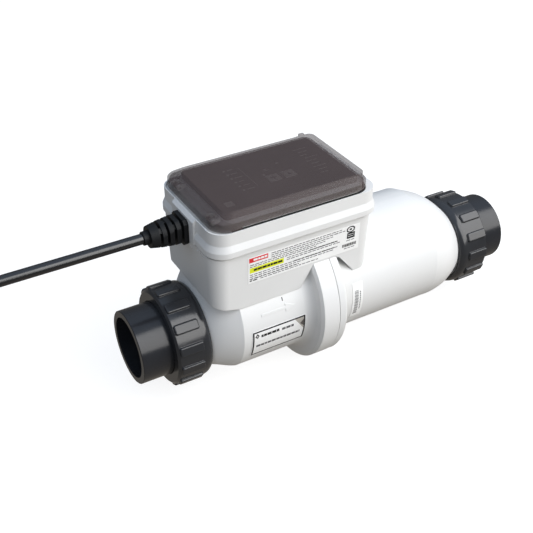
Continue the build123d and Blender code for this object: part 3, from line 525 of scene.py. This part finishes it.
# ---------------------------------------------------------------- control panel
# a bar beside each lens, a scale, lines of dashes, a few small marks and a square in a corner
LENS_PITCH, LINE_PITCH = 7.8, 6.2
lens_bars = [(122.2, 23.5 - LENS_PITCH * k, 5.5 + 1.2 * (k % 3), 1.1) for k in range(6)]
right_column = []
for k in range(9):
    start = 196.0 + 2.0 * (k % 2)
    length = 14.0 - 3.0 * (k % 3)
    right_column += words(start, 27.0 - LINE_PITCH * k, length, 1.2, seed=5 * k + 1)
panel_marks = {
    "panel_lens_bars": lens_bars,
    "panel_lens_scale": repeated((133.5, -13.5, 0.7, 1.6), count=15, pitch=2.6),
    "panel_right_column": right_column,
    "panel_small_marks": [
        (168.5, 13.0, 3.0, 2.0),
        (147.0, -1.0, 2.2, 2.2),
        (152.0, 6.0, 5.5, 1.0),
        (152.0, 8.4, 3.6, 1.0),
    ],
    "panel_corner_square": [(92.0, -34.0, 8.0, 8.0)],
}
for name, patches in panel_marks.items():
    printed(name, patches, on_panel, ink_panel)

# a cross on the left key and a stepped arrowhead on the right one
cross = [(152.6, -11.6, 1.8, 6.2), (150.4, -9.4, 6.2, 1.8)]
printed("left_button_mark", cross, on_key, ink_black, body="left_button")
arrow = [(167.2 + 0.5 * k, -11.4 + 0.7 * k, 5.0 - 1.0 * k, 0.65) for k in range(5)]
printed("right_button_mark", arrow, on_key, ink_black, body="right_button")

# ---------------------------------------------------------------- cord
CORD_R = 4.95
EXIT_Z = 115.4  # height at which the cord leaves the strain relief
TOP_LAYER, BOTTOM_LAYER = -48.05, -58.15  # heights of the coil's two layers
PLUG_Y, PLUG_Z = 80.0, -50.8  # the axis of the connector, which lies along X
coil_centre = (-360.0, 0.0)
layer_heights = (TOP_LAYER, BOTTOM_LAYER)
turns_per_layer = 4.75
outer_turn, inner_turn = 90.5, 43.0
points_per_turn = 16
climb = 0.15  # turns, each side of a change of layer
exit_point = (24.0, 0.0, EXIT_Z)
# out of the strain relief, down and aside, onto the top layer of the coil
cord_points = [
    exit_point,
    (-65.3, 0.0, EXIT_Z),
    (-146.0, 0.0, EXIT_Z),
    (-214.0, -22.0, 78.0),
    (-248.0, -64.0, 14.0),
    (-300.0, -outer_turn, TOP_LAYER),
]


def layer_height(turns):
    """Height of the cord after so many turns: level on a layer, eased between two."""
    nearest = round(turns / turns_per_layer)
    offset = turns - nearest * turns_per_layer
    if nearest in (0, len(layer_heights)) or abs(offset) > climb:
        return layer_heights[min(len(layer_heights) - 1, int(turns / turns_per_layer))]
    t = (offset + climb) / (2 * climb)
    ease = t * t * (3 - 2 * t)
    return layer_heights[nearest - 1] * (1 - ease) + layer_heights[nearest] * ease


steps_in_coil = int(len(layer_heights) * turns_per_layer * points_per_turn)
for step in range(steps_in_coil + 1):
    turns = step / points_per_turn
    layer = min(len(layer_heights) - 1, int(turns / turns_per_layer))
    share = turns / turns_per_layer - layer
    inward = share if layer % 2 == 0 else 1 - share
    radius = outer_turn + (inner_turn - outer_turn) * inward
    radius /= math.cos(math.pi / points_per_turn)  # the spline runs inside its control points
    angle = -math.pi / 2 - 2 * math.pi * turns
    x = coil_centre[0] + radius * math.cos(angle)
    y = coil_centre[1] + radius * math.sin(angle)
    cord_points.append((x, y, layer_height(turns)))
# off the bottom layer to the connector
cord_points += [
    (-312.0, outer_turn, BOTTOM_LAYER),
    (-260.0, PLUG_Y, PLUG_Z),
    (-214.0, PLUG_Y, PLUG_Z),
]

curve = bpy.data.curves.new("cell_cord", "CURVE")
curve.dimensions = "3D"
curve.bevel_depth = CORD_R * MM
curve.bevel_resolution = 5
curve.resolution_u = 6
spline = curve.splines.new("NURBS")
spline.points.add(len(cord_points) - 1)
for control, (x, y, z) in zip(spline.points, cord_points):
    control.co = (x * MM, y * MM, z * MM, 1.0)
spline.order_u = 3
spline.use_endpoint_u = True
curve.materials.append(cord_jacket)
cell_cord = bpy.data.objects.new("cell_cord", curve)
bpy.context.scene.collection.objects.link(cell_cord)
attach(cell_cord, "cell")
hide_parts("power_cord", "cord_coil", "cord_lead_out")

# ---------------------------------------------------------------- coil straps
# two straps hold the coil, one at each end, snug round the turns that pass there
STRAP_THICKNESS, STRAP_WIDTH, STRAP_GAP = 0.9, 8.0, 0.15
CORNER_STEPS = 8
turn_pitch = (outer_turn - inner_turn) / turns_per_layer


def add_strap(shape, side, first_turn):
    """A rounded band round both layers, on the coil's -X side or its +X side (side -1 or 1).

    The turns that pass there are first_turn and every whole turn after it.
    """
    last_turn = first_turn + math.floor(turns_per_layer - first_turn)
    far, near = [outer_turn - turn_pitch * turn for turn in (first_turn, last_turn)]
    ends = (coil_centre[0] + side * far, coil_centre[0] + side * near)
    corners = (
        (max(ends), TOP_LAYER),
        (min(ends), TOP_LAYER),
        (min(ends), BOTTOM_LAYER),
        (max(ends), BOTTOM_LAYER),
    )
    inside = CORD_R + STRAP_GAP
    outside = inside + STRAP_THICKNESS
    edge = STRAP_WIDTH / 2
    section = ((inside, -edge), (inside, edge), (outside, edge), (outside, -edge))
    rings = []
    for quarter, (corner_x, corner_z) in enumerate(corners):
        for step in range(CORNER_STEPS + 1):
            angle = (quarter + step / CORNER_STEPS) * math.pi / 2
            ring = []
            for radius, along in section:
                x = corner_x + radius * math.cos(angle)
                z = corner_z + radius * math.sin(angle)
                ring.append(shape.verts.new(Vector((x, coil_centre[1] + along, z)) * MM))
            rings.append(ring)
    join_rings(shape, rings, closed=True)


straps = bmesh.new()
add_strap(straps, side=-1, first_turn=0.25)
add_strap(straps, side=1, first_turn=0.75)
coil_straps = new_piece("coil_straps", straps, relief_rubber)
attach(coil_straps, "cell")
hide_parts("coil_ties")


# ---------------------------------------------------------------- studio, in metres
def area_light(name, place, target, size, energy, colour):
    data = bpy.data.lights.new(name, "AREA")
    data.shape = "RECTANGLE"
    data.size, data.size_y = size
    data.energy = energy
    data.color = colour
    light = bpy.data.objects.new(name, data)
    light.location = place
    light.rotation_euler = (Vector(target) - Vector(place)).to_track_quat("-Z", "Y").to_euler()
    bpy.context.scene.collection.objects.link(light)


centre = (0.2165, 0.0, 0.03)
area_light("key", (1.10, -1.25, 1.20), centre, (2.4, 2.0), 55.0, (1.0, 0.985, 0.965))
area_light("left_strip", (-1.5, -1.1, 1.0), centre, (0.4, 1.4), 3.0, (0.9, 0.94, 1.0))

# the dome's colours, from straight down to straight up: warm, dim at eye level, bright and cool
dome_colours = (
    (0.00, (0.34, 0.31, 0.27)),
    (0.50, (0.13, 0.133, 0.137)),
    (0.68, (0.20, 0.215, 0.235)),
    (1.00, (0.52, 0.64, 0.82)),
)
WALL_COLOUR = (0.90, 0.92, 0.95)
MIX_FACTOR, MIX_FIRST, MIX_SECOND, MIX_RESULT = 0, 6, 7, 2  # a Mix node's sockets for colours


def studio_world():
    """A soft dome that lights the object; behind it the camera sees a wall as pale as the floor."""
    world = bpy.data.worlds.new("studio")
    world.use_nodes = True
    tree = world.node_tree
    sky = tree.nodes["Background"]
    sky.inputs["Strength"].default_value = 1.0
    direction = tree.nodes.new("ShaderNodeTexCoord")
    split = tree.nodes.new("ShaderNodeSeparateXYZ")
    height = tree.nodes.new("ShaderNodeMapRange")
    height.inputs["From Min"].default_value = -1.0
    dome = tree.nodes.new("ShaderNodeValToRGB")
    stops = dome.color_ramp.elements
    for stop, (_, colour) in zip(stops, (dome_colours[0], dome_colours[-1])):
        stop.color = (*colour, 1)
    for position, colour in dome_colours[1:-1]:
        stops.new(position).color = (*colour, 1)
    tree.links.new(direction.outputs["Generated"], split.inputs["Vector"])
    tree.links.new(split.outputs["Z"], height.inputs["Value"])
    tree.links.new(height.outputs["Result"], dome.inputs["Fac"])
    ray = tree.nodes.new("ShaderNodeLightPath")
    wall = tree.nodes.new("ShaderNodeMix")
    wall.data_type = "RGBA"
    wall.inputs[MIX_SECOND].default_value = (*WALL_COLOUR, 1)
    tree.links.new(ray.outputs["Is Camera Ray"], wall.inputs[MIX_FACTOR])
    tree.links.new(dome.outputs["Color"], wall.inputs[MIX_FIRST])
    tree.links.new(wall.outputs[MIX_RESULT], sky.inputs["Color"])
    return world


bpy.context.scene.world = studio_world()
bpy.context.scene.view_settings.view_transform = "Standard"
bpy.context.scene.view_settings.look = "None"

FLOOR_REACH = 6.0
FLOOR_DROP = 0.0002  # below the object's lowest point, so that the two never share a plane
FLOOR_GLOW = 0.84
floor_mesh = bpy.data.meshes.new("floor")
floor_shape = bmesh.new()
bmesh.ops.create_grid(floor_shape, x_segments=2, y_segments=2, size=FLOOR_REACH)
floor_shape.to_mesh(floor_mesh)
floor_shape.free()
floor = bpy.data.objects.new("floor", floor_mesh)
floor.location = (0, 0, cad_box[0][2] - FLOOR_DROP)
floor.visible_diffuse = False
floor.visible_glossy = False
bpy.context.scene.collection.objects.link(floor)
pale = moulded("floor_pale", (0.30, 0.30, 0.30), 0.7, tint=0.01, relief=0.0)
glow = pale.node_tree.nodes["Principled BSDF"]
glow.inputs["Emission Color"].default_value = (1, 1, 1, 1)
glow.inputs["Emission Strength"].default_value = FLOOR_GLOW
floor_mesh.materials.append(pale)

# ---------------------------------------------------------------- camera
AZIMUTH, ELEVATION = math.radians(30.02), math.radians(35.16)  # turned from +Y to +X, and down
lens_data = bpy.data.cameras.new("camera")
lens_data.sensor_width = 36.0
lens_data.lens = 59.2
lens_data.clip_start = 0.01
camera = bpy.data.objects.new("camera", lens_data)
camera.location = (-0.20435, -0.61470, 0.54102)
view = Vector((
    math.sin(AZIMUTH) * math.cos(ELEVATION),
    math.cos(AZIMUTH) * math.cos(ELEVATION),
    -math.sin(ELEVATION),
))
camera.rotation_euler = view.to_track_quat("-Z", "Y").to_euler()
bpy.context.scene.collection.objects.link(camera)
bpy.context.scene.camera = camera
